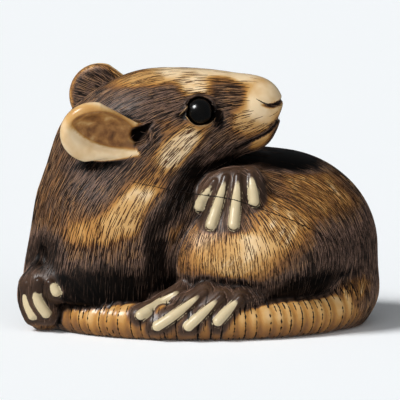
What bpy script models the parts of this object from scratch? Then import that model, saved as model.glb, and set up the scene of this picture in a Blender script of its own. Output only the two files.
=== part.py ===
"""Netsuke of a curled rat: one ivory carving with two inlaid eyes of dark horn.

Sizes that can be set by themselves are millimetres. The figure's pose and masses are
shares of its length: one share is a hundredth of CARVING_LENGTH. X runs along the
figure towards the rump, Y away from its near side, Z up from its flat underside.
"""

import math

import bmesh
import bpy
import numpy as np
from mathutils import Matrix, Vector

METRES_PER_MM = 0.001

# Driving dimensions, in millimetres
CARVING_LENGTH = 48.0
EYE_RADIUS = 1.85
EYE_PROUD = 1.15
EYE_CLEARANCE = 0.12
KNOT_HOLE_RADIUS = 3.6
KNOT_HOLE_DEPTH = 9.0
CORD_HOLE_RADIUS = 2.0
CORD_HOLE_SPACING = 12.0
CORD_HOLE_OFFSET = 0.5
CORD_HOLE_CROWN = 0.4
CUT_PAST = 1.0
CLAY_VOXEL = 0.3
ROUGH_VOXEL = 0.55
CARVING_TRIANGLES = 8100
BALL_SEGMENTS, BALL_RINGS = 22, 13
ROD_SEGMENTS = 28

SHARE = CARVING_LENGTH / 100

# Head: its own frame has x to the nose, y to the far side and z up through the crown
HEAD_CENTRE = (-11.6, -4.0, 57.3)
HEAD_REACH = 50.0
HEAD_ROLL = 8.0
HEAD_YAW = -3.0

# The ellipse that the tail lies on, round the near edge of the underside
TAIL_REACH = (40.2, 30.2)

# Masses, as (centre, radii) in shares; each group runs together over its own blend, and the
# rump stands over the tail's root
RUMP_INSET = 20.0
FORE_MASSES = {
    "chest": ((-24.4, -1.0, 13.0), (24.6, 25.5, 23.0)),
    "breast": ((-19.5, -1.0, 32.0), (26.3, 24.5, 23.0)),
    "nape": ((-21.3, -2.0, 50.0), (18.6, 16.8, 16.0)),
    "far_shoulder": ((-26.0, 14.0, 19.0), (18.0, 17.5, 19.0)),
}
REAR_MASSES = {
    "rump": ((TAIL_REACH[0] - RUMP_INSET, 5.0, 21.2), (29.4, 26.5, 27.2)),
    "back": ((-8.0, 11.0, 26.0), (33.0, 21.0, 24.0)),
    "far_thigh": ((17.0, 16.0, 17.0), (23.0, 16.5, 16.5)),
    "belly": ((0.0, 0.0, 3.0), (40.0, 28.0, 9.0)),
}
THIGH_MASSES = {
    "thigh": ((17.0, -11.0, 22.4), (24.0, 19.0, 17.2)),
    "knee": ((2.0, -13.5, 19.3), (10.5, 13.5, 12.2)),
}
HEAD_MASSES = {
    "cranium": ((0.0, 0.0, 0.0), (17.5, 16.0, 14.8)),
    "brow": ((15.4, 0.0, 3.2), (16.0, 11.6, 11.3)),
    "nose": ((28.2, 0.0, 5.2), (6.1, 6.2, 6.5)),
    "chin": ((25.3, 0.0, -3.1), (5.0, 4.8, 4.1)),
}
CHEEK = ((6.2, -4.0, -6.4), (13.9, 9.5, 9.7))
FORE_BLEND, REAR_BLEND, THIGH_BLEND, HEAD_BLEND = 8.0, 10.0, 5.0, 7.0
HAUNCH_BLEND = 5.0
GROUP_BLEND = 1.2
NECK_BLEND = 7.0

# Ear: a cupped leaf from its root to its round lobe, on the head's near side and mirrored
EAR_ROOT = (-4.4, -16.4, -0.8)
EAR_LOBE = (-17.0, -19.2, 2.2)
EAR_TILT = 8.0
EAR_ROOT_RADIUS, EAR_LOBE_RADIUS = 4.4, 9.0
EAR_THICKNESS, EAR_RIM = 4.6, 2.6
EAR_BOWL = ((8.4, -1.2, 2.8), (11.2, 6.0, 4.0))
EAR_CANAL = ((-4.2, -17.6, 0.6), (3.0, 3.4, 2.6))
EAR_BLEND, CANAL_BLEND = 1.2, 1.8

# Eye, eyelid and the cuts of mouth and nostril, in the head's frame
EYE_PLACE = (12.5, 6.2)
EYE_FACING = (0.18, -0.95, 0.22)
LID_WIDTH, LID_BLEND = 0.9, 1.0
MOUTH_LINE = ((35.4, 4.6), (33.2, 1.0), (31.0, -1.0), (28.4, -2.2), (25.8, -3.2), (22.0, -5.0))
NOSTRIL_LINE = ((27.6, 8.2), (29.6, 6.9), (32.2, 6.3), (35.4, 6.6))
CUT_WIDTH, CUT_DEPTH = 0.75, 0.95

# Tail: its root is run into the rump
TAIL_TURN = (-30.0, 174.0)
TAIL_RADII = (9.6, 9.0, 7.5, 5.8, 5.2, 5.0, 5.0, 4.9, 4.8, 4.5)
TAIL_LIFT = 0.97
TAIL_BLEND, ROOT_BLEND = 0.6, 7.0
ROOT_FROM, ROOT_TO = TAIL_REACH[0] - 4.2, TAIL_REACH[0] + 5.8

# Undercut: over the tail the chest is cut back to an ellipse, less so further up
UNDERCUT_PAST_TAIL = (0.2, -1.4)
UNDERCUT_REACH = (TAIL_REACH[0] + UNDERCUT_PAST_TAIL[0], TAIL_REACH[1] + UNDERCUT_PAST_TAIL[1])
UNDERCUT_TOP, UNDERCUT_SLOPE, UNDERCUT_BLEND = 6.8, 2.8, 3.0

# Paws: each digit is a bowed line of (across, up) as seen in the view from VIEW_RISE degrees
# above the near side, laid on the masses
VIEW_RISE = 8.0
FOREPAW_DIGITS = (
    ((4.3, 39.3), (1.6, 35.5), (0.1, 32.4)),
    ((7.3, 40.5), (5.4, 34.0), (3.2, 27.4)),
    ((10.6, 40.7), (10.1, 34.0), (9.4, 27.4)),
    ((14.2, 41.2), (14.8, 36.9), (15.1, 33.8)),
)
HINDPAW_DIGITS = (
    ((-4.9, 9.4), (-10.6, 5.8), (-16.2, 2.5)),
    ((1.3, 8.8), (-5.9, 3.2), (-11.6, -0.6)),
    ((6.0, 7.5), (0.7, 2.8), (-3.0, -0.6)),
    ((11.2, 7.1), (7.9, 3.8), (5.1, 0.8)),
)
SIDEPAW_DIGITS = (
    ((-47.6, 11.2), (-48.0, 6.8), (-46.2, 2.2)),
    ((-44.5, 11.8), (-45.3, 7.4), (-42.5, 2.8)),
    ((-41.4, 11.4), (-40.3, 10.0), (-39.6, 8.8)),
)
FAR_DIGITS = (
    ((-1.0, 0.9), (-6.0, 0.3), (-10.4, -1.3)),
    ((1.5, -1.4), (-5.0, -2.0), (-9.8, -3.0)),
    ((-29.0, 0.4), (-33.0, -0.2), (-36.4, -1.6)),
    ((-27.0, -1.6), (-31.5, -2.2), (-35.0, -3.1)),
)
DIGIT_RADII = (1.15, 1.45, 1.5)
DIGIT_STEPS = 7
DIGIT_PROUD, DIGIT_BLEND = 0.7, 0.35
PAD_RADIUS, PAD_SUNK, PAD_BLEND = 2.6, 2.0, 1.8
FOREPAW_BACK = ((10.2, -14.5, 38.3), (9.8, 8.2, 8.0))
HINDPAW_BACK = ((4.8, -26.5, 10.8), (14.0, 6.0, 3.2))
SIDEPAW_BACK = ((-42.5, -8.0, 8.0), (6.9, 11.0, 9.0))
WRIST = ((-42.2, -13.0, 15.0), (6.2, 7.0, 4.4))
FAR_HINDPAW_BACK = ((4.0, 29.0, 2.6), (12.5, 5.6, 4.2))
FAR_FOREPAW_BACK = ((-27.0, 24.5, 3.0), (8.0, 5.6, 4.0))
PAW_BACKS = (FOREPAW_BACK, HINDPAW_BACK, SIDEPAW_BACK, WRIST, FAR_HINDPAW_BACK, FAR_FOREPAW_BACK)
PAW_BLEND = 2.6
# The pit between the side paw's wrist and the chest
PIT_PLACE = (-43.6, 19.2)
PIT_RADII = (1.9, 2.6, 3.0)
PIT_BLEND = 1.5

# Distances in shares: one past which no mass touches another, and one outside the figure
FAR = 9.0
OUTSIDE = 45.0
ROUGH_TURNS, FINE_TURNS = 5, 4


def turned(degrees, axis):
    return np.array(Matrix.Rotation(math.radians(degrees), 3, axis))


HEAD_AXES = turned(HEAD_YAW, "Z") @ turned(HEAD_ROLL, "X")


def ellipsoid(points, centre, radii):
    """Signed distance to an ellipsoid, close to true near its surface."""
    scaled = (points - np.array(centre)) / np.array(radii)
    reach = np.linalg.norm(scaled, axis=1)
    slope = np.linalg.norm(scaled / np.array(radii), axis=1)
    return reach * (reach - 1) / np.maximum(slope, 1e-9)


def tube(points, path, radii):
    """Signed distance to a round tube along a path, in two or three dimensions.
    Points further off than FAR from the path's box just read as FAR."""
    low = np.min(path, axis=0) - max(radii) - FAR
    high = np.max(path, axis=0) + max(radii) + FAR
    inside = ((points > low) & (points < high)).all(1)
    near = points[inside]
    nearest = np.full(len(near), FAR)
    for start, end, first, last in zip(path, path[1:], radii, radii[1:]):
        span = np.subtract(end, start)
        offset = near - np.array(start)
        along = np.clip(offset @ span / (span @ span), 0, 1)
        gap = np.linalg.norm(offset - along[:, None] * span, axis=1)
        nearest = np.minimum(nearest, gap - (first + along * (last - first)))
    distance = np.full(len(points), FAR)
    distance[inside] = nearest
    return distance


def within(points, centre, reach, field):
    """The field where points lie within reach of a centre, and FAR elsewhere."""
    distance = np.full(len(points), FAR)
    inside = np.linalg.norm(points - np.array(centre), axis=1) < reach
    if inside.any():
        distance[inside] = field(points[inside])
    return distance


def joined(first, second, blend):
    """Union of two distances, filleted over the width blend."""
    share = np.maximum(blend - np.abs(first - second), 0) / blend
    return np.minimum(first, second) - share**2 * blend / 4


def carved(body, cutter, blend):
    """The body with the cutter taken away, its edge eased over the width blend."""
    return -joined(-body, cutter, blend)


def massed(points, masses, blend):
    total = None
    for centre, radii in masses.values():
        mass = ellipsoid(points, centre, radii)
        total = mass if total is None else joined(total, mass, blend)
    return total


def in_head(points):
    return (points - np.array(HEAD_CENTRE)) @ HEAD_AXES


def from_head(points):
    return np.array(points) @ HEAD_AXES.T + np.array(HEAD_CENTRE)


def near_half(local):
    """Head points with the far side folded onto the near one, so features come in pairs."""
    return local * (1, 0, 1) - np.abs(local) * (0, 1, 0)


def ear_axes():
    """Columns: from root to lobe, across the leaf, and out of its cup."""
    along = np.subtract(EAR_LOBE, EAR_ROOT)
    along = along / np.linalg.norm(along)
    out = turned(EAR_TILT, "X") @ np.array((0.0, -1.0, 0.0))
    out = out - along * (out @ along)
    out = out / np.linalg.norm(out)
    return np.column_stack((along, np.cross(out, along), out))


def ear_canal(points):
    return ellipsoid(near_half(in_head(points)), *EAR_CANAL)


def ear(points):
    """Signed distance to both ears: a rounded leaf with a bowl hollowed out of it."""
    place = (near_half(in_head(points)) - np.array(EAR_ROOT)) @ ear_axes()
    length = np.linalg.norm(np.subtract(EAR_LOBE, EAR_ROOT))
    ends = ((0.0, 0.0), (length, 0.0))
    outline = tube(place[:, :2], ends, (EAR_ROOT_RADIUS, EAR_LOBE_RADIUS))
    leaf = carved(outline, EAR_THICKNESS / 2 - np.abs(place[:, 2]), EAR_RIM)
    return carved(leaf, ellipsoid(place, *EAR_BOWL), EAR_RIM / 2)


def head(points):
    """The head's masses, with the grooves of mouth and nostril round its muzzle."""
    local = in_head(points)
    total = massed(local, HEAD_MASSES, HEAD_BLEND)
    total = joined(total, ellipsoid(near_half(local), *CHEEK), HEAD_BLEND)
    for line in (MOUTH_LINE, NOSTRIL_LINE):
        away = tube(local[:, (0, 2)], line, [0] * len(line))
        total = total + CUT_DEPTH * np.exp(-((away / CUT_WIDTH) ** 2))
    return total


def tail_at(angles):
    """Centre and radius of the tail at angles in degrees round its ellipse."""
    knots = np.linspace(*TAIL_TURN, len(TAIL_RADII))
    radii = np.interp(angles, knots, TAIL_RADII)
    turns = np.radians(angles)
    across = TAIL_REACH[0] * np.cos(turns)
    out = -TAIL_REACH[1] * np.sin(turns)
    return np.column_stack((across, out, radii * TAIL_LIFT)), radii


def tail(points):
    """Signed distance to the tail, read at each point's own angle round the ellipse."""
    angles = np.degrees(np.arctan2(-points[:, 1] / TAIL_REACH[1], points[:, 0] / TAIL_REACH[0]))
    angles = np.where(angles < -90, angles + 360, angles)
    centres, radii = tail_at(np.clip(angles, *TAIL_TURN))
    return np.linalg.norm(points - centres, axis=1) - radii


def undercut(points):
    """Signed distance to the clay taken away from under the chest."""
    plan = ellipsoid(points[:, :2], (0, 0), UNDERCUT_REACH)
    return UNDERCUT_SLOPE * np.maximum(points[:, 2] - UNDERCUT_TOP, 0) - plan


def masses(points):
    """The whole figure before its ears, tail and paws."""
    fore = carved(massed(points, FORE_MASSES, FORE_BLEND), undercut(points), UNDERCUT_BLEND)
    fore = joined(fore, within(points, HEAD_CENTRE, HEAD_REACH, head), NECK_BLEND)
    rear = massed(points, REAR_MASSES, REAR_BLEND)
    rear = joined(rear, massed(points, THIGH_MASSES, THIGH_BLEND), HAUNCH_BLEND)
    return joined(fore, rear, GROUP_BLEND)


def blocked_out(points):
    """The figure with its tail and the backs of its paws, before digits and ears."""
    total = masses(points)
    for back in PAW_BACKS:
        total = joined(total, ellipsoid(points, *back), PAW_BLEND)
    share = np.clip((points[:, 0] - ROOT_FROM) / (ROOT_TO - ROOT_FROM), 0, 1)
    return joined(total, tail(points), TAIL_BLEND + (ROOT_BLEND - TAIL_BLEND) * share)


def settled(starts, direction, field):
    """Points moved along a direction until they meet the field's surface."""
    direction = np.array(direction) / np.linalg.norm(direction)
    points = np.array(starts, float)
    for _ in range(60):
        points = points + np.clip(field(points), -2, 2)[:, None] * direction * 0.7
    return points


def bowed(line, count):
    """Points along the curve that passes through a line's three points."""
    start, middle, end = np.array(line, float)
    t = np.linspace(0, 1, count)[:, None]
    control = 2 * middle - (start + end) / 2
    return (1 - t) ** 2 * start + 2 * t * (1 - t) * control + t**2 * end


def sighted(spots, side=1):
    """Where lines of sight through spots of the view first meet the blocked-out figure,
    and the way they run; side is 1 for the near view and -1 for the far one."""
    rise = math.radians(VIEW_RISE)
    ahead = np.array((0, side * math.cos(rise), -math.sin(rise)))
    spots = np.array(spots, float)
    depth = -OUTSIDE
    up = (spots[:, 1] - math.sin(rise) * depth) / math.cos(rise)
    starts = np.column_stack((spots[:, 0], np.full(len(spots), side * depth), up))
    return settled(starts, ahead, blocked_out), ahead


def digits():
    """Each digit's centre line, laid on the blocked-out figure, and its line of sight."""
    laid = []
    near = FOREPAW_DIGITS + HINDPAW_DIGITS + SIDEPAW_DIGITS
    for line, side in [(line, 1) for line in near] + [(line, -1) for line in FAR_DIGITS]:
        path, ahead = sighted(bowed(line, DIGIT_STEPS), side)
        for _ in range(2):
            path[1:-1] = (path[:-2] + 2 * path[1:-1] + path[2:]) / 4
        laid.append((path, ahead))
    return laid


DIGITS = digits()
PIT = sighted([PIT_PLACE])[0][0]


def paws(points, total):
    """The figure with its digits, and the webs that hold them."""
    girths = np.interp(np.linspace(0, 1, DIGIT_STEPS), (0, 0.5, 1), DIGIT_RADII)
    for path, ahead in DIGITS:
        pad = tube(points, path + ahead * PAD_SUNK, [PAD_RADIUS] * DIGIT_STEPS)
        total = joined(total, pad, PAD_BLEND)
    for path, ahead in DIGITS:
        total = joined(total, tube(points, path - ahead * DIGIT_PROUD, girths), DIGIT_BLEND)
    return total


def figure(points):
    """Signed distance to the carved rat, in shares."""
    total = paws(points, blocked_out(points))
    total = carved(total, ellipsoid(points, PIT, PIT_RADII), PIT_BLEND)
    total = joined(total, within(points, HEAD_CENTRE, HEAD_REACH, ear), EAR_BLEND)
    total = carved(total, within(points, HEAD_CENTRE, HEAD_REACH, ear_canal), CANAL_BLEND)
    for centre, facing in EYE_SEATS:
        lid = within(points, centre, FAR, lambda near: lid_ring(near, centre, facing))
        total = joined(total, lid, LID_BLEND)
    return total


def eye_seat(side):
    """Centre of an eye and the way it faces, in shares; side is 1 near and -1 far."""
    x, z = EYE_PLACE
    facing = np.array(EYE_FACING) / np.linalg.norm(EYE_FACING)
    start = from_head([(x, -OUTSIDE, z)])
    met = in_head(settled(start, HEAD_AXES @ (0, 1, 0), masses))[0]
    centre = met - facing * (EYE_RADIUS - EYE_PROUD) / SHARE
    mirror = np.array((1, side, 1))
    return from_head([centre * mirror])[0], HEAD_AXES @ (facing * mirror)


EYE_SEATS = [eye_seat(1), eye_seat(-1)]


def lid_ring(points, centre, facing):
    """The raised eyelid round an eye."""
    offset = points - centre
    rise = offset @ facing
    radial = np.linalg.norm(offset - rise[:, None] * facing, axis=1)
    level = (EYE_RADIUS - EYE_PROUD) / SHARE
    return np.hypot(radial - EYE_RADIUS / SHARE, rise - level) - LID_WIDTH


def sloped(points, step=0.04):
    """The field at each point, and its slope there."""
    here = figure(points)
    slopes = [figure(points + step * axis) - here for axis in np.eye(3)]
    return here, np.column_stack(slopes) / step


def rough_lumps():
    """Every mass as a plain ball or row of balls, each as (centre, radii, axes): the clay
    that the field then shapes."""
    lumps = [(centre, radii, np.eye(3)) for centre, radii in PAW_BACKS]
    for group in (FORE_MASSES, REAR_MASSES, THIGH_MASSES):
        lumps += [(centre, radii, np.eye(3)) for centre, radii in group.values()]
    for side in (1, -1):
        mirror = np.array((1, side, 1))
        for centre, radii in (*HEAD_MASSES.values(), CHEEK):
            lumps.append((from_head(np.array(centre) * mirror), radii, HEAD_AXES))
        axes = HEAD_AXES @ (ear_axes() * mirror[:, None])
        for t in np.linspace(0, 1, 7):
            centre = np.array(EAR_ROOT) * (1 - t) + np.array(EAR_LOBE) * t
            radius = EAR_ROOT_RADIUS * (1 - t) + EAR_LOBE_RADIUS * t
            radii = (radius, radius, EAR_THICKNESS / 2)
            lumps.append((from_head(centre * mirror), radii, axes))
    for path, _ in DIGITS:
        lumps += [(centre, (PAD_RADIUS,) * 3, np.eye(3)) for centre in path]
    for centre, radius in zip(*tail_at(np.linspace(*TAIL_TURN, 70))):
        lumps.append((centre, (radius,) * 3, np.eye(3)))
    return lumps


def relaxed(points, faces):
    """Each point moved to the mean of its neighbours."""
    here = np.concatenate((faces.ravel(), np.roll(faces, -1, 1).ravel()))
    there = np.concatenate((np.roll(faces, -1, 1).ravel(), faces.ravel()))
    count = np.bincount(here, minlength=len(points))
    total = [np.bincount(here, points[there, axis], len(points)) for axis in range(3)]
    return np.column_stack(total) / count[:, None]


def shaped(mesh, turns):
    """The mesh's points drawn onto the field's surface, kept evenly spread."""
    points = np.empty(len(mesh.vertices) * 3)
    mesh.vertices.foreach_get("co", points)
    points = points.reshape(-1, 3)
    faces = np.array([tuple(face.vertices) for face in mesh.polygons])
    for turn in range(turns):
        here, slope = sloped(points)
        size = np.maximum((slope**2).sum(1), 0.2)
        move = -slope * (here / size)[:, None]
        reach = np.linalg.norm(move, axis=1, keepdims=True)
        points = points + move * np.minimum(1, 1.5 / np.maximum(reach, 1e-9))
        if turn < turns - 1:
            drift = relaxed(points, faces) - points
            normal = slope / np.sqrt(size)[:, None]
            points = points + 0.5 * (drift - normal * (drift * normal).sum(1)[:, None])
    mesh.vertices.foreach_set("co", points.ravel())
    mesh.update()
    return mesh


def material(name, colour, roughness):
    made = bpy.data.materials.new(name)
    made.use_nodes = True
    shader = made.node_tree.nodes["Principled BSDF"]
    shader.inputs["Base Color"].default_value = (*colour, 1)
    shader.inputs["Roughness"].default_value = roughness
    shader.inputs["Metallic"].default_value = 0
    return made


def new_object(name, mesh, finish=None):
    made = bpy.data.objects.new(name, mesh)
    bpy.context.scene.collection.objects.link(made)
    if finish:
        mesh.materials.append(finish)
    return made


def clay_mesh():
    """The rough lumps as one mesh of overlapping balls, in shares."""
    template = bmesh.new()
    bmesh.ops.create_icosphere(template, subdivisions=4, radius=1)
    points = np.array([tuple(vert.co) for vert in template.verts])
    faces = np.array([[vert.index for vert in face.verts] for face in template.faces])
    template.free()
    lumps = rough_lumps()
    places = [points * radii @ axes.T + np.array(centre) for centre, radii, axes in lumps]
    corners = [faces + len(points) * index for index in range(len(lumps))]
    mesh = bpy.data.meshes.new("clay")
    mesh.from_pydata(np.concatenate(places).tolist(), [], np.concatenate(corners).tolist())
    return mesh


def fused(mesh, voxel):
    """The mesh as one closed skin of even small faces, a voxel's size in millimetres."""
    clay = new_object("clay", mesh)
    fuse = clay.modifiers.new("fuse", "REMESH")
    fuse.mode = "VOXEL"
    fuse.voxel_size = voxel / SHARE
    bpy.context.view_layer.update()
    evaluated = clay.evaluated_get(bpy.context.evaluated_depsgraph_get())
    skin = bpy.data.meshes.new_from_object(evaluated)
    bpy.data.objects.remove(clay)
    bpy.data.meshes.remove(mesh)
    return skin


def cutter(body, name, shape):
    """A helper object whose shape a Boolean takes out of the body."""
    mesh = bpy.data.meshes.new(name)
    shape.to_mesh(mesh)
    shape.free()
    tool = new_object(name + "_cut", mesh)
    tool.hide_render = True
    tool.display_type = "WIRE"
    cut = body.modifiers.new(name, "BOOLEAN")
    cut.operation = "DIFFERENCE"
    cut.object = tool


def ball(radius, centre=(0, 0, 0)):
    shape = bmesh.new()
    place = Matrix.Translation(centre)
    bmesh.ops.create_uvsphere(
        shape, u_segments=BALL_SEGMENTS, v_segments=BALL_RINGS, radius=radius, matrix=place
    )
    return shape


def rod(start, end, radius):
    """A closed round rod between two points in millimetres."""
    start, end = Vector(start) * METRES_PER_MM, Vector(end) * METRES_PER_MM
    turn = (end - start).to_track_quat("Z", "Y").to_matrix().to_4x4()
    place = Matrix.Translation((start + end) / 2) @ turn
    girth = radius * METRES_PER_MM
    shape = bmesh.new()
    bmesh.ops.create_cone(
        shape,
        cap_ends=True,
        segments=ROD_SEGMENTS,
        radius1=girth,
        radius2=girth,
        depth=(end - start).length,
        matrix=place,
    )
    return shape


def underground():
    """A block whose top is the plane that the carving stands on."""
    size = 2 * CARVING_LENGTH * METRES_PER_MM
    shape = bmesh.new()
    bmesh.ops.create_cube(shape, size=size, matrix=Matrix.Translation((0, 0, -size / 2)))
    return shape


def carve_rat(finish):
    """The carving, with its flat underside and its two joined cord holes."""
    rough = shaped(fused(clay_mesh(), ROUGH_VOXEL), ROUGH_TURNS)
    mesh = shaped(fused(rough, CLAY_VOXEL), FINE_TURNS)
    mesh.transform(Matrix.Scale(SHARE * METRES_PER_MM, 4))
    mesh.name = "carved_rat"
    body = new_object("carved_rat", mesh, finish)
    thin = body.modifiers.new("fewer_faces", "DECIMATE")
    thin.ratio = CARVING_TRIANGLES / (2 * len(mesh.polygons))
    thin.use_collapse_triangulate = True

    knot_x = CORD_HOLE_OFFSET + CORD_HOLE_SPACING / 2
    mouth = np.array((CORD_HOLE_OFFSET - CORD_HOLE_SPACING / 2, 0, 0))
    meeting = np.array((knot_x, 0, KNOT_HOLE_DEPTH - CORD_HOLE_RADIUS - CORD_HOLE_CROWN))
    way_out = (mouth - meeting) / np.linalg.norm(mouth - meeting)
    cord_end = mouth + way_out * (2 * CORD_HOLE_RADIUS + CUT_PAST)
    knot_ends = ((knot_x, 0, -CUT_PAST), (knot_x, 0, KNOT_HOLE_DEPTH))
    cutter(body, "flat_underside", underground())
    cutter(body, "knot_hole", rod(*knot_ends, KNOT_HOLE_RADIUS))
    cutter(body, "cord_hole", rod(cord_end, meeting, CORD_HOLE_RADIUS))
    return body


def inlay_eye(body, name, centre, finish):
    """A horn eye in its socket."""
    centre = centre * SHARE * METRES_PER_MM
    socket = ball((EYE_RADIUS + EYE_CLEARANCE) * METRES_PER_MM, centre)
    cutter(body, name + "_socket", socket)
    shape = ball(EYE_RADIUS * METRES_PER_MM)
    mesh = bpy.data.meshes.new(name)
    shape.to_mesh(mesh)
    shape.free()
    mesh.shade_smooth()
    eye = new_object(name, mesh, finish)
    eye.location = centre


def main():
    for old in list(bpy.data.objects):
        bpy.data.objects.remove(old)
    ivory = material("stained_ivory", (0.52, 0.36, 0.19), 0.35)
    horn = material("dark_horn", (0.012, 0.010, 0.009), 0.08)
    body = carve_rat(ivory)
    for name, (centre, _) in zip(("near_eye", "far_eye"), EYE_SEATS):
        inlay_eye(body, name, centre, horn)


main()
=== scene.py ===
# Netsuke of a curled rat: its looks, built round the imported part
# Shapes are in shares of the carving's length (0.48 mm each) until they go into a mesh
import math

import bmesh
import bpy
import numpy as np
from mathutils import Matrix, Vector


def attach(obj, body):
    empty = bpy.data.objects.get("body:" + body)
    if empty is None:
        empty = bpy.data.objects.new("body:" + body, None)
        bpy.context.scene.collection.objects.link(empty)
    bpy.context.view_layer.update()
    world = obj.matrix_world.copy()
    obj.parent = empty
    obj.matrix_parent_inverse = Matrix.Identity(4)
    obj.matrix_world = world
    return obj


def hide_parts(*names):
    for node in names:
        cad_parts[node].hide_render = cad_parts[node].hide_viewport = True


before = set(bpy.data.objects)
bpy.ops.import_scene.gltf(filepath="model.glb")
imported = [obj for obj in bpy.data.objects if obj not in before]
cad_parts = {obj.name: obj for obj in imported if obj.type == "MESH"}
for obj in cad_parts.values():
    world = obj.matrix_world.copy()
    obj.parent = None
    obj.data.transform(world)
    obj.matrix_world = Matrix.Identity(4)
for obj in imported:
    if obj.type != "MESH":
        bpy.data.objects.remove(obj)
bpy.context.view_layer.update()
print("frame loaded")

share = 0.00048  # metres
shareMm = 0.48  # the same in millimetres
sharesPerPixel = 0.2786  # photograph's pixels to shares, for places read off it
originPixel = (199.5, 323.5)  # where the part's own zero is seen in the photograph
far = 9.0  # distances past this one aren't worked out


def turned(degrees, axis):
    return np.array(Matrix.Rotation(math.radians(degrees), 3, axis))


def smooth(low, high, values):
    t = np.clip((values - low) / (high - low), 0, 1)
    return t * t * (3 - 2 * t)


def fromPixels(across, down):
    return (across - originPixel[0]) * sharesPerPixel, (originPixel[1] - down) * sharesPerPixel


# Signed distances, as the part's own source has them
def ellipsoid(points, centre, radii):
    scaled = (points - np.array(centre)) / np.array(radii)
    reach = np.linalg.norm(scaled, axis=1)
    slope = np.linalg.norm(scaled / np.array(radii), axis=1)
    return reach * (reach - 1) / np.maximum(slope, 1e-9)


def tube(points, path, radii):
    low = np.min(path, axis=0) - max(radii) - far
    high = np.max(path, axis=0) + max(radii) + far
    inside = ((points > low) & (points < high)).all(1)
    near = points[inside]
    nearest = np.full(len(near), far)
    for start, end, first, last in zip(path, path[1:], radii, radii[1:]):
        span = np.subtract(end, start)
        offset = near - np.array(start)
        along = np.clip(offset @ span / (span @ span), 0, 1)
        gap = np.linalg.norm(offset - along[:, None] * span, axis=1)
        nearest = np.minimum(nearest, gap - (first + along * (last - first)))
    distance = np.full(len(points), far)
    distance[inside] = nearest
    return distance


def within(points, centre, reach, field):
    distance = np.full(len(points), far)
    inside = np.linalg.norm(points - np.array(centre), axis=1) < reach
    if inside.any():
        distance[inside] = field(points[inside])
    return distance


def joined(first, second, blend):
    overlap = np.maximum(blend - np.abs(first - second), 0) / blend
    return np.minimum(first, second) - overlap**2 * blend / 4


def carved(body, cutter, blend):
    return -joined(-body, cutter, blend)


def massed(points, masses, blend):
    total = None
    for centre, radii in masses:
        mass = ellipsoid(points, centre, radii)
        total = mass if total is None else joined(total, mass, blend)
    return total


body = {
    "fore": (  # chest, breast, nape, far shoulder: centre and radii
        ((-24.4, -1.0, 13.0), (24.6, 25.5, 23.0)),
        ((-19.5, -1.0, 32.0), (26.3, 24.5, 23.0)),
        ((-21.3, -2.0, 50.0), (18.6, 16.8, 16.0)),
        ((-26.0, 14.0, 19.0), (18.0, 17.5, 19.0)),
    ),
    "rear": (  # rump, back, far thigh, belly
        ((20.2, 5.0, 21.2), (29.4, 26.5, 27.2)),
        ((-8.0, 11.0, 26.0), (33.0, 21.0, 24.0)),
        ((17.0, 16.0, 17.0), (23.0, 16.5, 16.5)),
        ((0.0, 0.0, 3.0), (40.0, 28.0, 9.0)),
    ),
    "thigh": (  # near thigh and knee
        ((17.0, -11.0, 22.4), (24.0, 19.0, 17.2)),
        ((2.0, -13.5, 19.3), (10.5, 13.5, 12.2)),
    ),
    "foreBlend": 8.0,
    "rearBlend": 10.0,
    "thighBlend": 5.0,
    "haunchBlend": 5.0,
    "groupBlend": 1.2,
    "neckBlend": 7.0,
    "undercutReach": (40.4, 28.8),
    "undercutTop": 6.8,
    "undercutSlope": 2.8,
    "undercutBlend": 3.0,
}

head = {
    "centre": (-11.6, -4.0, 57.3),
    "reach": 50.0,
    "roll": 8.0,
    "yaw": -3.0,
    "masses": (  # cranium, brow, nose, chin
        ((0.0, 0.0, 0.0), (17.5, 16.0, 14.8)),
        ((15.4, 0.0, 3.2), (16.0, 11.6, 11.3)),
        ((28.2, 0.0, 5.2), (6.1, 6.2, 6.5)),
        ((25.3, 0.0, -3.1), (5.0, 4.8, 4.1)),
    ),
    "cheek": ((6.2, -4.0, -6.4), (13.9, 9.5, 9.7)),
    "blend": 7.0,
    "mouth": ((35.4, 4.6), (33.2, 1.0), (31.0, -1.0), (28.4, -2.2), (25.8, -3.2), (22.0, -5.0)),
    "nostril": ((27.6, 8.2), (29.6, 6.9), (32.2, 6.3), (35.4, 6.6)),
    "cutWidth": 0.5,
    "cutDepth": 0.85,
}
headAxes = turned(head["yaw"], "Z") @ turned(head["roll"], "X")


def inHead(points):
    return (points - np.array(head["centre"])) @ headAxes


def fromHead(points):
    return np.array(points) @ headAxes.T + np.array(head["centre"])


def nearHalf(local):
    return local * (1, 0, 1) - np.abs(local) * (0, 1, 0)


def lineGap(local, line):
    # Distance from a line drawn on the head's side
    return tube(local[:, (0, 2)], line, [0] * len(line))


def headField(points):
    local = inHead(points)
    total = massed(local, head["masses"], head["blend"])
    total = joined(total, ellipsoid(nearHalf(local), *head["cheek"]), head["blend"])
    for line, taper in ((head["mouth"], 1), (head["nostril"], smooth(28.5, 32.0, local[:, 0]))):
        away = lineGap(local, line) / head["cutWidth"]
        total = total + head["cutDepth"] * taper * np.exp(-(away**2))
    return total


ear = {
    "root": (-4.4, -16.4, -0.8),
    "lobe": (-17.0, -19.2, 2.2),
    "tilt": 8.0,
    "rootRadius": 4.4,
    "lobeRadius": 9.0,
    "thickness": 4.6,
    "rim": 2.6,
    "bowl": ((8.4, -1.2, 2.8), (11.2, 6.0, 4.0)),
    "canal": ((-4.2, -17.6, 0.6), (3.0, 3.4, 2.6)),
    "blend": 1.2,
    "canalBlend": 0.9,
    # as seen in the photograph, in its pixels: the bowl (its half width and height in shares,
    # its turn in degrees), the leaf's end towards the cheek, and the canal's dark cleft
    "bowlSeen": ((105, 129), 9.6, 4.5, -20),
    "endSeen": ((158, 118), (150, 125), (134, 145), (143, 160)),
    "cleftSeen": ((129, 131), (154, 122), (135, 147)),
}


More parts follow.
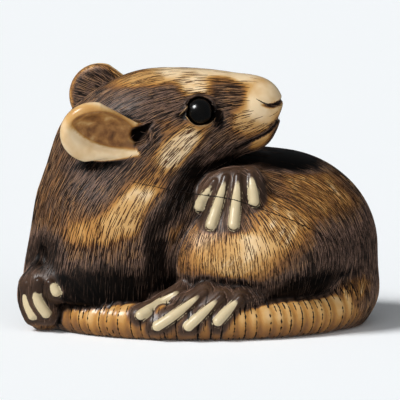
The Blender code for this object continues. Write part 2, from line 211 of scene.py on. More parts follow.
def earAxes():
    along = np.subtract(ear["lobe"], ear["root"])
    along = along / np.linalg.norm(along)
    out = turned(ear["tilt"], "X") @ np.array((0.0, -1.0, 0.0))
    out = out - along * (out @ along)
    out = out / np.linalg.norm(out)
    return np.column_stack((along, np.cross(out, along), out))


def inEar(points):
    return (nearHalf(inHead(points)) - np.array(ear["root"])) @ earAxes()


def earOutline(place):
    length = np.linalg.norm(np.subtract(ear["lobe"], ear["root"]))
    ends = ((0.0, 0.0), (length, 0.0))
    return tube(place[:, :2], ends, (ear["rootRadius"], ear["lobeRadius"]))


def earField(points):
    place = inEar(points)
    leaf = carved(earOutline(place), ear["thickness"] / 2 - np.abs(place[:, 2]), ear["rim"])
    return carved(leaf, ellipsoid(place, *ear["bowl"]), ear["rim"] / 2)


def canalField(points):
    return ellipsoid(nearHalf(inHead(points)), *ear["canal"])


tail = {
    "reach": (40.2, 30.2),
    "turn": (-30.0, 174.0),
    "radii": (9.6, 9.0, 7.5, 5.8, 5.2, 5.0, 5.0, 4.9, 4.8, 4.5),
    "lift": 0.97,
    "blend": 0.6,
    "rootBlend": 7.0,
    "rootFrom": 36.0,
    "rootTo": 46.0,
    "ringSpacing": 3.0,  # 1.4 mm
    "ringDepth": 0.3,
    "ringWidth": 0.6,
}


def tailAngles(points):
    angles = np.degrees(
        np.arctan2(-points[:, 1] / tail["reach"][1], points[:, 0] / tail["reach"][0])
    )
    return np.where(angles < -90, angles + 360, angles)


def tailRun(angles):
    # Length along the tail from the middle of the near side, in shares
    turns = np.radians(np.linspace(-120, 240, 721))
    steps = np.hypot(tail["reach"][0] * np.sin(turns), tail["reach"][1] * np.cos(turns))
    run = np.concatenate(([0], np.cumsum((steps[1:] + steps[:-1]) / 2 * np.diff(turns))))
    return np.interp(angles, np.degrees(turns), run) - np.interp(90, np.degrees(turns), run)


# Where each ring is cut: about evenly spaced, none quite regular
ringRandom = np.random.default_rng(11)
ringPlaces = np.arange(-60, 60, tail["ringSpacing"])
ringPlaces = ringPlaces + ringRandom.uniform(-0.5, 0.5, len(ringPlaces))


def ringsAt(run):
    # 1 on a ring's line, falling to 0 beside it
    gap = np.abs(run[:, None] - ringPlaces[None, :]).min(1)
    return np.exp(-((gap / tail["ringWidth"]) ** 2))


def tailField(points):
    angles = tailAngles(points)
    held = np.clip(angles, *tail["turn"])
    radii = np.interp(held, np.linspace(*tail["turn"], len(tail["radii"])), tail["radii"])
    turns = np.radians(held)
    across = tail["reach"][0] * np.cos(turns)
    out = -tail["reach"][1] * np.sin(turns)
    centres = np.column_stack((across, out, radii * tail["lift"]))
    marked = smooth(12, 30, held) * ringsAt(tailRun(held)) * tail["ringDepth"]
    return np.linalg.norm(points - centres, axis=1) - radii + marked


def undercut(points):
    plan = ellipsoid(points[:, :2], (0, 0), body["undercutReach"])
    return body["undercutSlope"] * np.maximum(points[:, 2] - body["undercutTop"], 0) - plan


def foreField(points):
    fore = massed(points, body["fore"], body["foreBlend"])
    fore = carved(fore, undercut(points), body["undercutBlend"])
    return joined(fore, within(points, head["centre"], head["reach"], headField), body["neckBlend"])


def rearField(points):
    rear = massed(points, body["rear"], body["rearBlend"])
    return joined(rear, massed(points, body["thigh"], body["thighBlend"]), body["haunchBlend"])


def masses(points):
    return joined(foreField(points), rearField(points), body["groupBlend"])


paws = {
    "viewRise": 8.0,  # digits are lines (across, up) as seen from this height, laid on the masses
    "fore": (
        ((4.3, 39.3), (1.6, 35.5), (0.1, 32.4)),
        ((7.3, 40.5), (5.4, 34.0), (3.2, 27.4)),
        ((10.6, 40.7), (10.1, 34.0), (9.4, 27.4)),
        ((14.2, 41.2), (14.8, 36.9), (15.1, 33.8)),
    ),
    "hind": (
        ((-4.9, 9.4), (-10.6, 5.8), (-16.2, 2.5)),
        ((1.3, 8.8), (-5.9, 3.2), (-11.6, -0.6)),
        ((6.0, 7.5), (0.7, 2.8), (-3.0, -0.6)),
        ((11.2, 7.1), (7.9, 3.8), (5.1, 0.8)),
    ),
    "side": (
        ((-47.6, 11.2), (-48.0, 6.8), (-46.2, 2.2)),
        ((-44.5, 11.8), (-45.3, 7.4), (-42.5, 2.8)),
        ((-41.4, 11.4), (-40.3, 10.0), (-39.6, 8.8)),
    ),
    "far": (
        ((-1.0, 0.9), (-6.0, 0.3), (-10.4, -1.3)),
        ((1.5, -1.4), (-5.0, -2.0), (-9.8, -3.0)),
        ((-29.0, 0.4), (-33.0, -0.2), (-36.4, -1.6)),
        ((-27.0, -1.6), (-31.5, -2.2), (-35.0, -3.1)),
    ),
    "backs": (  # forepaw, hindpaw, side paw, wrist, far hindpaw, far forepaw
        ((10.2, -14.5, 38.3), (9.8, 8.2, 8.0)),
        ((4.8, -26.5, 10.8), (14.0, 6.0, 3.2)),
        ((-42.5, -8.0, 8.0), (6.9, 11.0, 9.0)),
        ((-42.2, -13.0, 15.0), (6.2, 7.0, 4.4)),
        ((4.0, 29.0, 2.6), (12.5, 5.6, 4.2)),
        ((-27.0, 24.5, 3.0), (8.0, 5.6, 4.0)),
    ),
    "backBlend": 2.6,
    "radii": (1.15, 1.45, 1.5),
    "steps": 7,
    "proud": 0.7,
    "blend": 0.35,
    "padRadius": 2.6,
    "padSunk": 2.0,
    "padBlend": 1.8,
    "pitPlace": (-43.6, 19.2),
    "pitRadii": (1.9, 2.6, 3.0),
    "pitBlend": 1.5,
}


def blockedOut(points):
    total = masses(points)
    for back in paws["backs"]:
        total = joined(total, ellipsoid(points, *back), paws["backBlend"])
    run = np.clip((points[:, 0] - tail["rootFrom"]) / (tail["rootTo"] - tail["rootFrom"]), 0, 1)
    blend = tail["blend"] + (tail["rootBlend"] - tail["blend"]) * run
    return joined(total, tailField(points), blend)


def settled(starts, direction, field):
    direction = np.array(direction) / np.linalg.norm(direction)
    points = np.array(starts, float)
    for _ in range(60):
        points = points + np.clip(field(points), -2, 2)[:, None] * direction * 0.7
    return points


def bowed(line, count):
    start, middle, end = np.array(line, float)
    t = np.linspace(0, 1, count)[:, None]
    control = 2 * middle - (start + end) / 2
    return (1 - t) ** 2 * start + 2 * t * (1 - t) * control + t**2 * end


def sighted(spots, side=1, field=blockedOut):
    # Where lines of sight through spots of the view first meet the figure
    rise = math.radians(paws["viewRise"])
    ahead = np.array((0, side * math.cos(rise), -math.sin(rise)))
    spots = np.array(spots, float)
    depth = -45.0
    up = (spots[:, 1] - math.sin(rise) * depth) / math.cos(rise)
    starts = np.column_stack((spots[:, 0], np.full(len(spots), side * depth), up))
    return settled(starts, ahead, field), ahead


def laidDigits():
    laid = []
    near = paws["fore"] + paws["hind"] + paws["side"]
    for line, side in [(line, 1) for line in near] + [(line, -1) for line in paws["far"]]:
        path, ahead = sighted(bowed(line, paws["steps"]), side)
        for _ in range(2):
            path[1:-1] = (path[:-2] + 2 * path[1:-1] + path[2:]) / 4
        laid.append((path, ahead))
    return laid


digits = laidDigits()
digitLines = [path - ahead * paws["proud"] for path, ahead in digits]
padLines = [path + ahead * paws["padSunk"] for path, ahead in digits]
girths = np.interp(np.linspace(0, 1, paws["steps"]), (0, 0.5, 1), paws["radii"])
padGirths = [paws["padRadius"]] * paws["steps"]
pit = sighted([paws["pitPlace"]])[0][0]

eye = {
    "place": (12.5, 6.2),
    "facing": (0.18, -0.95, 0.22),
    "radius": 1.85 / shareMm,
    "proud": 1.15 / shareMm,
    "clearance": 0.12 / shareMm,
    "lidWidth": 0.9,
    "lidBlend": 1.0,
}


def eyeSeat(side):
    x, z = eye["place"]
    facing = np.array(eye["facing"]) / np.linalg.norm(eye["facing"])
    start = fromHead([(x, -45.0, z)])
    met = inHead(settled(start, headAxes @ (0, 1, 0), masses))[0]
    centre = met - facing * (eye["radius"] - eye["proud"])
    mirror = np.array((1, side, 1))
    return fromHead([centre * mirror])[0], headAxes @ (facing * mirror)


eyeSeats = [eyeSeat(1), eyeSeat(-1)]


def lidRing(points, centre, facing):
    offset = points - centre
    rise = offset @ facing
    radial = np.linalg.norm(offset - rise[:, None] * facing, axis=1)
    level = eye["radius"] - eye["proud"]
    return np.hypot(radial - eye["radius"], rise - level) - eye["lidWidth"]


cordHoles = {
    "knotRadius": 3.6 / shareMm,
    "knotDepth": 9.0 / shareMm,
    "cordRadius": 2.0 / shareMm,
    "knotX": 6.5 / shareMm,
    "cordX": -5.5 / shareMm,
    "crown": 0.4 / shareMm,
}


def holesField(points):
    # The two joined cord holes in the underside
    knotX, depth = cordHoles["knotX"], cordHoles["knotDepth"]
    wide = np.hypot(points[:, 0] - knotX, points[:, 1]) - cordHoles["knotRadius"]
    wide = np.maximum(wide, points[:, 2] - depth)
    mouth = np.array((cordHoles["cordX"], 0, 0))
    meeting = np.array((knotX, 0, depth - cordHoles["cordRadius"] - cordHoles["crown"]))
    wayOut = (mouth - meeting) / np.linalg.norm(mouth - meeting)
    path = (mouth + wayOut * 6, meeting)
    return np.minimum(wide, tube(points, path, [cordHoles["cordRadius"]] * 2))


def nearestTube(points, lines, radii):
    total = np.full(len(points), far)
    for line in lines:
        total = np.minimum(total, tube(points, line, radii))
    return total


def digitField(points):
    return nearestTube(points, digitLines, girths)


def padField(points):
    return nearestTube(points, padLines, padGirths)


def digitRun(points):
    # How far down its digit a point lies, from 0 at the knuckle to 1 at the tip
    run, nearest = np.zeros(len(points)), np.full(len(points), far)
    for line in digitLines:
        for step, (start, end) in enumerate(zip(line, line[1:])):
            span = end - start
            offset = points - start
            along = np.clip(offset @ span / (span @ span), 0, 1)
            gap = np.linalg.norm(offset - along[:, None] * span, axis=1)
            run = np.where(gap < nearest, (step + along) / (paws["steps"] - 1), run)
            nearest = np.minimum(nearest, gap)
    return run


# Hollows too small for the part's own source, read off the photograph in its pixels
hollows = {
    "nicks": (  # at the eye's corners: (across, down), radii in shares
        ((218, 119), (1.2, 1.4, 2.4)),
        ((184.5, 116), (1.9, 0.9, 0.7)),
    ),
    "nickBlend": 0.8,
    "cleft": ((139, 135), (152, 124)),  # from the ear canal, to a point towards the brow
    "cleftRadii": (1.7, 0.3),
    "cleftBlend": 0.5,
}


def onBothSides(spots):
    # Spots of the photograph laid on the head, and their mirror images on its far side
    met = inHead(sighted([fromPixels(*spot) for spot in spots], 1, masses)[0])
    return [fromHead(met * (1, side, 1)) for side in (1, -1)]


nicks = [(place[0], radii) for spot, radii in hollows["nicks"] for place in onBothSides([spot])]
clefts = onBothSides(hollows["cleft"])


def figure(points):
    total = blockedOut(points)
    for line in padLines:
        total = joined(total, tube(points, line, padGirths), paws["padBlend"])
    for line in digitLines:
        total = joined(total, tube(points, line, girths), paws["blend"])
    total = carved(total, ellipsoid(points, pit, paws["pitRadii"]), paws["pitBlend"])
    total = joined(total, within(points, head["centre"], head["reach"], earField), ear["blend"])
    canal = within(points, head["centre"], head["reach"], canalField)
    total = carved(total, canal, ear["canalBlend"])
    for centre, facing in eyeSeats:
        lid = within(points, centre, far, lambda near: lidRing(near, centre, facing))
        total = joined(total, lid, eye["lidBlend"])
        socket = np.linalg.norm(points - centre, axis=1) - eye["radius"] - eye["clearance"]
        total = np.maximum(total, -socket)
    for centre, radii in nicks:
        total = carved(total, ellipsoid(points, centre, radii), hollows["nickBlend"])
    for path in clefts:
        total = carved(total, tube(points, path, hollows["cleftRadii"]), hollows["cleftBlend"])
    total = np.maximum(total, -points[:, 2])
    return np.maximum(total, -holesField(points))


def sloped(points, step=0.04):
    here = figure(points)
    slopes = [figure(points + step * axis) - here for axis in np.eye(3)]
    return here, np.column_stack(slopes) / step


def edgesOf(mesh):
    pairs = np.empty(len(mesh.edges) * 2, np.int64)
    mesh.edges.foreach_get("vertices", pairs)
    return pairs.reshape(-1, 2)


def pointsOf(mesh):
    points = np.empty(len(mesh.vertices) * 3)
    mesh.vertices.foreach_get("co", points)
    return points.reshape(-1, 3)


def averaged(values, edges):
    # Each vertex's value moved to the mean of its neighbours'
    values = values.reshape(len(values), -1)
    here = np.concatenate((edges[:, 0], edges[:, 1]))
    there = np.concatenate((edges[:, 1], edges[:, 0]))
    count = np.maximum(np.bincount(here, minlength=len(values)), 1)
    columns = [np.bincount(here, values[there, c], len(values)) for c in range(values.shape[1])]
    return np.column_stack(columns) / count[:, None]


def shaped(mesh, turns, drift=0.5):
    # The mesh's points drawn onto the figure's surface, and kept evenly spread
    points, edges = pointsOf(mesh), edgesOf(mesh)
    for turn in range(turns):
        here, slope = sloped(points)
        size = np.maximum((slope**2).sum(1), 0.2)
        move = -slope * (here / size)[:, None]
        reach = np.linalg.norm(move, axis=1, keepdims=True)
        points = points + move * np.minimum(1, 0.6 / np.maximum(reach, 1e-9))
        if turn < turns - 1:
            shift = averaged(points, edges) - points
            normal = slope / np.sqrt(size)[:, None]
            points = points + drift * (shift - normal * (shift * normal).sum(1)[:, None])
    mesh.vertices.foreach_set("co", points.ravel())
    mesh.update()
    return mesh


def plainMesh(item):
    # An object's mesh with its modifiers' work done, and the object gone
    bpy.context.view_layer.update()
    evaluated = item.evaluated_get(bpy.context.evaluated_depsgraph_get())
    mesh = bpy.data.meshes.new_from_object(evaluated)
    old = item.data
    bpy.data.objects.remove(item)
    bpy.data.meshes.remove(old)
    return mesh


def newObject(name, mesh):
    made = bpy.data.objects.new(name, mesh)
    bpy.context.scene.collection.objects.link(made)
    return made


skin = {
    "voxel": 0.345,  # millimetres
    "quickVoxel": 0.4,
    # faces are half that size this near, in shares, to what is cut finely
    "earFine": 2.0,
    "digitFine": 1.0,
    "canalFine": 2.4,
    "lineFine": 1.4,
    "eyeFine": 2.2,
}


def ivorySkin():
    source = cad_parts["carved_rat"].data.copy()
    work = bmesh.new()
    work.from_mesh(source)
    bmesh.ops.remove_doubles(work, verts=work.verts, dist=1e-6)
    bmesh.ops.scale(work, vec=(1 / share,) * 3, verts=work.verts)
    work.to_mesh(source)
    work.free()
    lump = newObject("lump", source)
    fuse = lump.modifiers.new("even", "REMESH")
    fuse.mode = "VOXEL"
    fuse.voxel_size = skin["voxel"] / shareMm
    mesh = shaped(plainMesh(lump), 4)
    points = pointsOf(mesh)
    fine = detailAt(points)
    work = bmesh.new()
    work.from_mesh(mesh)
    work.verts.ensure_lookup_table()
    cut = [e for e in work.edges if fine[e.verts[0].index] and fine[e.verts[1].index]]
    bmesh.ops.subdivide_edges(work, edges=cut, cuts=1, use_grid_fill=True)
    bmesh.ops.triangulate(work, faces=[f for f in work.faces if len(f.verts) > 4])
    work.to_mesh(mesh)
    work.free()
    return shaped(mesh, 3, 0.3)


def detailAt(points):
    # Points that need half-size faces
    place = inEar(points)
    fine = (np.abs(earOutline(place)) < skin["earFine"]) & (np.abs(place[:, 2]) < 4)
    fine |= (digitField(points) < skin["digitFine"]) | (canalField(points) < skin["canalFine"])
    for line in (head["mouth"], head["nostril"]):
        fine |= (lineGap(inHead(points), line) < skin["lineFine"]) & (points[:, 2] > 40)
    for centre, _ in eyeSeats:
        fine |= np.linalg.norm(points - centre, axis=1) < eye["radius"] + skin["eyeFine"]
    return fine & (points[:, 2] > 0.4)


skinMesh = ivorySkin()
skinPoints = pointsOf(skinMesh)
skinEdges = edgesOf(skinMesh)
print("ivory skin:", len(skinPoints), "points")


# Which way the fur lies: guides (across, down) in the photograph's pixels and degrees
# turned from the right, anticlockwise
fur = {
    "foreGuides": (
        (272, 92, 178), (250, 118, 187), (225, 90, 182), (190, 84, 192), (150, 88, 200),
        (110, 95, 210), (165, 118, 206), (228, 133, 208), (205, 145, 220), (158, 150, 225),
        (190, 165, 229), (172, 178, 232), (128, 171, 228), (85, 192, 232), (52, 176, 238),
        (45, 209, 244), (118, 214, 240), (150, 203, 242), (215, 165, 226), (156, 230, 255),
        (63, 230, 250), (96, 241, 263), (118, 252, 269), (58, 255, 262), (35, 240, 258),
        (100, 290, 270), (165, 280, 268), (30, 290, 268), (250, 150, 205),
    ),
    "rearGuides": (
        (185, 228, 257), (186, 270, 268), (207, 240, 268), (232, 240, 281), (252, 218, 294),
        (263, 229, 291), (221, 271, 271), (263, 271, 269), (277, 191, 318), (270, 165, 335),
        (326, 184, 322), (305, 208, 310), (291, 224, 301), (340, 222, 300), (354, 250, 286),
        (305, 264, 282), (347, 271, 270), (354, 288, 256), (340, 288, 240), (372, 230, 282),
        (376, 290, 262), (300, 160, 335),
    ),
    "reach": 6.0,  # how far a guide holds, in shares
}


def seenFrom(points):
    # Places in the photograph's view; the far side takes the near side's pattern
    near = points * (1, 0, 1) - np.abs(points) * (0, 1, 0)
    faced = fromHead(nearHalf(inHead(points)))
    onHead = smooth(30, 22, np.linalg.norm(points - np.array(head["centre"]), axis=1))
    near = near + (faced - near) * onHead[:, None]
    up = 0.99 * near[:, 2] + 0.139 * near[:, 1]  # the cosine and sine of 8 degrees
    return np.column_stack((near[:, 0], up))


def combed(seen, guides):
    total = np.zeros((len(seen), 2))
    for across, down, degrees in guides:
        gap = ((seen - np.array(fromPixels(across, down))) ** 2).sum(1)
        weight = 1 / (gap + fur["reach"] ** 2) ** 2
        turn = math.radians(degrees)
        total += weight[:, None] * np.array((math.cos(turn), math.sin(turn)))
    return total / np.linalg.norm(total, axis=1, keepdims=True)


def unit(vectors):
    return vectors / np.maximum(np.linalg.norm(vectors, axis=1, keepdims=True), 1e-9)


def alongSkin(vectors):
    return unit(vectors - skinNormal * (vectors * skinNormal).sum(1)[:, None])


skinNormal = unit(sloped(skinPoints)[1])
seen = seenFrom(skinPoints)
isFore = foreField(skinPoints) < rearField(skinPoints)
flat = np.where(isFore[:, None], combed(seen, fur["foreGuides"]), combed(seen, fur["rearGuides"]))
lay = alongSkin(np.column_stack((flat[:, 0], np.zeros(len(flat)), flat[:, 1])))
for _ in range(6):
    lay = alongSkin(unit(averaged(lay, skinEdges) + 1e-6 * lay))
# behind the ear it fans out from the leaf's root
place = inEar(skinPoints)
earGap = np.abs(earField(skinPoints))
earBack = smooth(-0.5, -1.6, place[:, 2])
mirrored = np.where(skinPoints[:, 1] < head["centre"][1], 1.0, -1.0)
fanned = np.column_stack((place[:, 0] + 2.0, place[:, 1], np.zeros(len(place)))) @ earAxes().T
fanned[:, 1] *= mirrored
fanned = alongSkin(fanned @ headAxes.T)
onBack = smooth(0.8, 0.3, earGap) * earBack
lay = unit(lay + (fanned - lay) * onBack[:, None])
across = np.cross(skinNormal, lay)


def followed(points, edges, field, turns, rounds):
    # Numbers whose rise along the surface follows a field, in shares, by conjugate gradients.
    # Between rounds each place may ask for less or more rise, so that directions hold
    first, second = edges[:, 0], edges[:, 1]
    rise = ((points[second] - points[first]) * (field[first] + field[second]) / 2).sum(1)
    count = len(points)

    def spread(flow):
        return np.bincount(second, flow, count) - np.bincount(first, flow, count)

    def summed(flow):
        return np.bincount(second, flow, count) + np.bincount(first, flow, count)

    answer = np.zeros(count)
    factor = np.ones(count)
    for _ in range(rounds):
        left = spread(rise * (factor[first] + factor[second]) / 2 - answer[second] + answer[first])
        way = left.copy()
        size = left @ left
        for _ in range(turns):
            pull = spread(way[second] - way[first])
            step = size / max(way @ pull, 1e-12)
            answer += step * way
            left -= step * pull
            renewed = left @ left
            way = left + way * (renewed / size)
            size = renewed
        change = answer[second] - answer[first]
        factor = summed(change * rise) / np.maximum(summed(rise**2), 1e-9)
        for _ in range(8):
            factor = averaged(np.clip(factor, 0.6, 1.7), edges)[:, 0]
        factor = factor / factor.mean()
    return answer


kept = isFore[skinEdges[:, 0]] == isFore[skinEdges[:, 1]]
turns = 350
furAcross = followed(skinPoints, skinEdges[kept], across, turns, 5)
furAlong = followed(skinPoints, skinEdges[kept], lay, turns, 2)
print("fur combed")


# The stain and painted shade, as soft spots in the photograph's pixels: across, down, half width,
# half height, turn in degrees, then ground (0 cream, 1 black), strokes (0 none, 1 all over) and
# strength
stainAndShade = {
    "ground": 0.5,
    "strokes": 0.72,
    "farGround": 0.42,  # the far side is plainer
    "farStrokes": 0.66,
    "farShare": 0.45,
    "spots": (
        # skull and brow
        (150, 105, 60, 30, 20, 0.62, 0.8, 1.0),
        # cream ivory with painted sheen: a pale band over the skull's top, where highlights lie on
        # the dark fur
        (152, 79, 50, 9, 6, 0.12, 0.5, 0.9),
        (208, 75, 62, 11, -3, 0.0, 0.15, 1.0),
        (250, 122, 26, 14, 0, 0.13, 0.55, 0.95),
        (266, 99, 25, 23, 0, 0.0, 0.0, 1.0),
        (221, 82, 17, 5, -6, 0.34, 0.8, 0.75),
        (226, 94, 17, 11, -10, 0.5, 0.95, 0.95),
        (194, 87, 21, 13, -30, 0.03, 0.6, 0.95),
        # painted shadow: dark right of the eyeball, beside the lid
        (222, 120, 11, 13, 0, 0.62, 0.95, 0.85),
        (209, 133, 14, 7, 20, 0.66, 0.9, 0.8),
        # painted shade, with the stain of its cut: dark in the eye's rear corner
        (182, 116, 10, 5, 0, 0.8, 0.8, 0.6),
        # painted shadow: a dark band under the chin and jaw, where the head shades the neck
        (232, 150, 24, 6, 15, 0.8, 0.9, 0.9),
        (260, 141, 15, 5, 38, 0.12, 0.12, 1.0),
        # painted shadow: black right of the eyeball and in its rear corner nick
        (219, 118, 5, 11, 12, 1.0, 0.9, 1.0),
        (184, 116, 6, 2.6, 20, 1.0, 0.9, 1.0),
        (201, 126, 9, 2.2, 0, 0.2, 0.0, 1.0),
        # cheek and neck
        (160, 158, 34, 9, 45, 0.6, 0.8, 0.7),
        (179, 149, 36, 17, 42, 0.05, 0.5, 1.0),
        (162, 127, 14, 8, 0, 0.3, 0.8, 0.8),
        (133, 208, 39, 19, 52, 0.04, 0.4, 1.0),
        (150, 178, 14, 12, 45, 0.3, 0.8, 0.7),
        (88, 188, 45, 19, 45, 0.66, 0.85, 0.9),
        # painted shadow: a black band under the ear's lower rim
        (98, 166, 30, 6, 4, 1.0, 0.9, 1.0),
        (60, 212, 26, 30, 60, 0.4, 0.9, 0.7),
        (104, 250, 62, 12, 0, 0.5, 0.95, 0.9),
        (104, 230, 42, 16, 10, 0.19, 0.6, 1.0),
        (126, 218, 28, 15, 25, 0.1, 0.5, 0.9),
        # painted shade: dark bands down the creases where the neck and chest meet the near thigh
        (184, 190, 13, 48, -27, 0.97, 0.9, 0.95),
        (160, 250, 18, 46, 0, 0.93, 0.95, 1.0),
        # near black low on the chest: stain, and painted shade where the chest overhangs the
        # undercut
        (102, 288, 80, 25, 0, 0.95, 1.0, 1.0),
        # painted shade in the pit between the side paw and the body
        (42, 254, 24, 24, 0, 0.9, 0.9, 0.9),
        # haunch
        (234, 251, 56, 31, 0, 0.12, 0.6, 1.0),
        (250, 246, 26, 13, 0, 0.06, 0.3, 0.9),
        (285, 224, 42, 19, -35, 0.1, 0.8, 0.95),
        (318, 193, 50, 25, -40, 0.17, 1.0, 0.9),
        # stain, and painted shade: the rump darker on its right side, turned from the light, and at
        # its right edge
        (345, 252, 38, 44, -60, 0.74, 1.0, 0.85),
        # painted shade under the thigh's overhanging lower edge, down to the tail
        (318, 284, 54, 16, 8, 0.95, 1.0, 1.0),
        (372, 240, 12, 60, 0, 0.78, 0.9, 0.8),
        (173, 262, 6, 44, 0, 0.55, 0.15, 0.9),
        # painted shade in the crease between the thigh and the tail
        (220, 292, 50, 6, -6, 0.85, 0.9, 0.9),
        # painted shadow over dark stain: the haunch's top, black where the head shades it
        (290, 161, 40, 12, -5, 1.0, 0.4, 1.0),
        (206, 232, 42, 9, 2, 0.2, 0.85, 0.9),
        (182, 248, 11, 26, 0, 0.36, 0.85, 0.8),
        (243, 225, 9, 8, 0, 0.5, 1.0, 0.9),
        (220, 222, 7, 12, 0, 0.55, 1.0, 0.9),
        (350, 288, 22, 12, 20, 0.14, 0.9, 1.0),
    ),
}


def fromOval(seen, middle, wide, high, turn):
    # 0 at an oval's middle, 1 on its edge
    away = seen - np.array(fromPixels(*middle))
    c, s = math.cos(math.radians(turn)), math.sin(math.radians(turn))
    along = (away[:, 0] * c + away[:, 1] * s) / wide
    return np.hypot(along, (away[:, 1] * c - away[:, 0] * s) / high)


def washed(values, amount, towards):
    return values + (towards - values) * amount


def spotted(seen, start, which):
    value = np.full(len(seen), float(start))
    for across, down, wide, high, turn, *kinds in stainAndShade["spots"]:
        wide, high = wide * sharesPerPixel, high * sharesPerPixel
        away = fromOval(seen, (across, down), wide, high, turn)
        value = washed(value, kinds[2] * (1 - smooth(0.55, 1.35, away)), kinds[which])
    return value


ground = spotted(seen, stainAndShade["ground"], 0)
strokes = spotted(seen, stainAndShade["strokes"], 1)
backward = smooth(2, 14, skinPoints[:, 1])
ground += (stainAndShade["farGround"] - ground) * backward * stainAndShade["farShare"]
strokes += (stainAndShade["farStrokes"] - strokes) * backward * stainAndShade["farShare"]

# Parts that are cut smooth or lie deep, and the grounds they are given
tones = {
    "hollow": 0.97, "web": 0.68, "digit": 0.7,
    "tail": 0.1, "tailUnderShade": 0.22, "tailEnd": 0.16, "tailHollow": 0.6, "tailRing": 0.12,
    "ear": 0.01, "earLow": 0.13, "earBack": 0.6, "earEdge": 0.4, "bowl": 0.5,
    "cheekSide": 0.6, "muzzleLine": 0.7, "lid": 0.12, "lowerLid": 0.25,
    "rim": 0.3, "underside": 0.3,
}
# Painted shade and stain in hollows: the ground darkens and strokes thicken where the figure closes
# round a point, in creases, hollows and between parts
hollow = 1 - np.clip(figure(skinPoints + 2.2 * skinNormal) / 2.2, 0, 1)
ground = washed(ground, smooth(0.12, 0.7, hollow), tones["hollow"])
strokes = np.clip(strokes + smooth(0.1, 0.6, hollow), 0, 1)

# Where each part is, from 0 to 1
angles = tailAngles(skinPoints)
digitGap = digitField(skinPoints)
onDigit = smooth(0.32, 0.1, digitGap)
onWeb = smooth(1.6, 0.5, np.minimum(padField(skinPoints), digitGap + 0.3)) * (1 - onDigit)
onTail = smooth(0.5, 0.1, tailField(skinPoints)) * smooth(2, 22, angles)
onTail = onTail * (skinPoints[:, 2] < 13) * (1 - onWeb)
earEnd = np.array([fromPixels(*spot) for spot in ear["endSeen"]])
pastEar = seen[:, 0] - np.interp(-seen[:, 1], -earEnd[:, 1], earEnd[:, 0])
onEar = smooth(0.8, 0.3, earGap) * (earOutline(place) < 1.5) * smooth(0.5, 0.0, pastEar)
bowlGap = ellipsoid(place, *ear["bowl"])
earBack = earBack * smooth(0.2, 0.6, bowlGap)
bowlRim = fromOval(seen, *ear["bowlSeen"])
inBowl = smooth(1.12, 0.78, bowlRim) * smooth(1.3, 0.4, bowlGap)
cleftCorners = [np.array(fromPixels(*spot)) for spot in ear["cleftSeen"]]
cleft = np.full(len(seen), -far)
for start, end in zip(cleftCorners, cleftCorners[1:] + cleftCorners[:1]):
    outward = np.array((start[1] - end[1], end[0] - start[0])) / np.linalg.norm(end - start)
    cleft = np.maximum(cleft, (seen - start) @ outward)
nearCanal = smooth(3.6, 2.6, canalField(skinPoints))
# painted shade, with stain: the ear's canal and a cleft running from it, black
canalDark = smooth(0.6, -0.5, cleft) * nearCanal

ground = washed(ground, onWeb, tones["web"])
strokes = washed(strokes, onWeb * 0.9, 0.1)

# painted shade: the tail darker along its lower edge, where less light falls
tailUnderShade = smooth(7, 1, skinPoints[:, 2])
tailEnd = smooth(fromPixels(90, 0)[0], fromPixels(55, 0)[0], skinPoints[:, 0])
tailTone = tones["tail"] + tones["tailUnderShade"] * tailUnderShade + tones["tailEnd"] * tailEnd
# painted shade, with stain, in the tail's hollows
tailTone = tailTone + tones["tailHollow"] * smooth(0.12, 0.5, hollow)
tailTone = tailTone + tones["tailRing"] * ringsAt(tailRun(angles))
ground = washed(ground, onTail, tailTone)
strokes = washed(strokes, onTail, 0.06)

# digits are pale along a crest that narrows towards the knuckle: bare ivory, with painted light, as
# the crest is tilted to the upper side where light falls
strokes = washed(strokes, onDigit, 0)
run = digitRun(skinPoints)
# the crest faces out and up: the upward tilt is painted light
facing = np.abs(skinNormal[:, 1]) * 0.88 + skinNormal[:, 2] * 0.47
narrow = 0.36 + 0.54 * (1 - smooth(0.0, 0.75, run))
crest = onDigit * smooth(narrow - 0.15, narrow + 0.1, facing) * smooth(-0.05, 0.3, run)
pale = washed(np.zeros(len(skinPoints)), crest, 1)
ground = washed(ground, onDigit, tones["digit"])

earLow = smooth(1.45, 1.0, bowlRim) * smooth(3, -5, place[:, 1])
earTone = tones["ear"] + tones["earLow"] * earLow
ground = washed(ground, onEar * (1 - earBack), earTone)
strokes = washed(strokes, onEar * (1 - earBack), 0)
strokes = washed(strokes, onEar * earBack, 0.9)
edge = smooth(-2.2, -0.6, earOutline(place)) * onEar * earBack
ground = washed(ground, onEar * earBack, tones["earBack"] - tones["earEdge"] * edge)
ground = washed(ground, onEar * inBowl, tones["bowl"])
cheekSide = nearCanal * smooth(0.5, 1.2, pastEar) * (1 - canalDark)
ground = washed(ground, cheekSide, tones["cheekSide"])
strokes = washed(strokes, cheekSide, 0.9)
# painted shade, with stain, in the ear's canal
ground = washed(ground, canalDark, 1)
strokes = washed(strokes, canalDark, 0)

local = inHead(skinPoints)
for line, thin, thick in ((head["mouth"], 20, 21), (head["nostril"], 28.5, 32.0)):
    cutLine = smooth(0.45, 0.15, lineGap(local, line)) * (skinPoints[:, 2] > 45)
    ground = washed(ground, cutLine * smooth(thin, thick, local[:, 0]), tones["muzzleLine"])
for centre, _ in eyeSeats:
    gap = np.linalg.norm(skinPoints - centre, axis=1) - eye["radius"]
    strokes = washed(strokes, smooth(1.4, 0.6, gap), 0)
    lower = smooth(0.5, 1.5, centre[2] - skinPoints[:, 2] - 2.0)
    lidTone = np.minimum(ground + tones["lid"], 1) * (1 - lower) + tones["lowerLid"] * lower
    ground = washed(ground, smooth(1.6, 0.8, gap), lidTone)
    # painted shadow: the socket's wall round the eyeball painted black, as the gap's shade
    ground = washed(ground, smooth(0.36, 0.28, gap), 1)

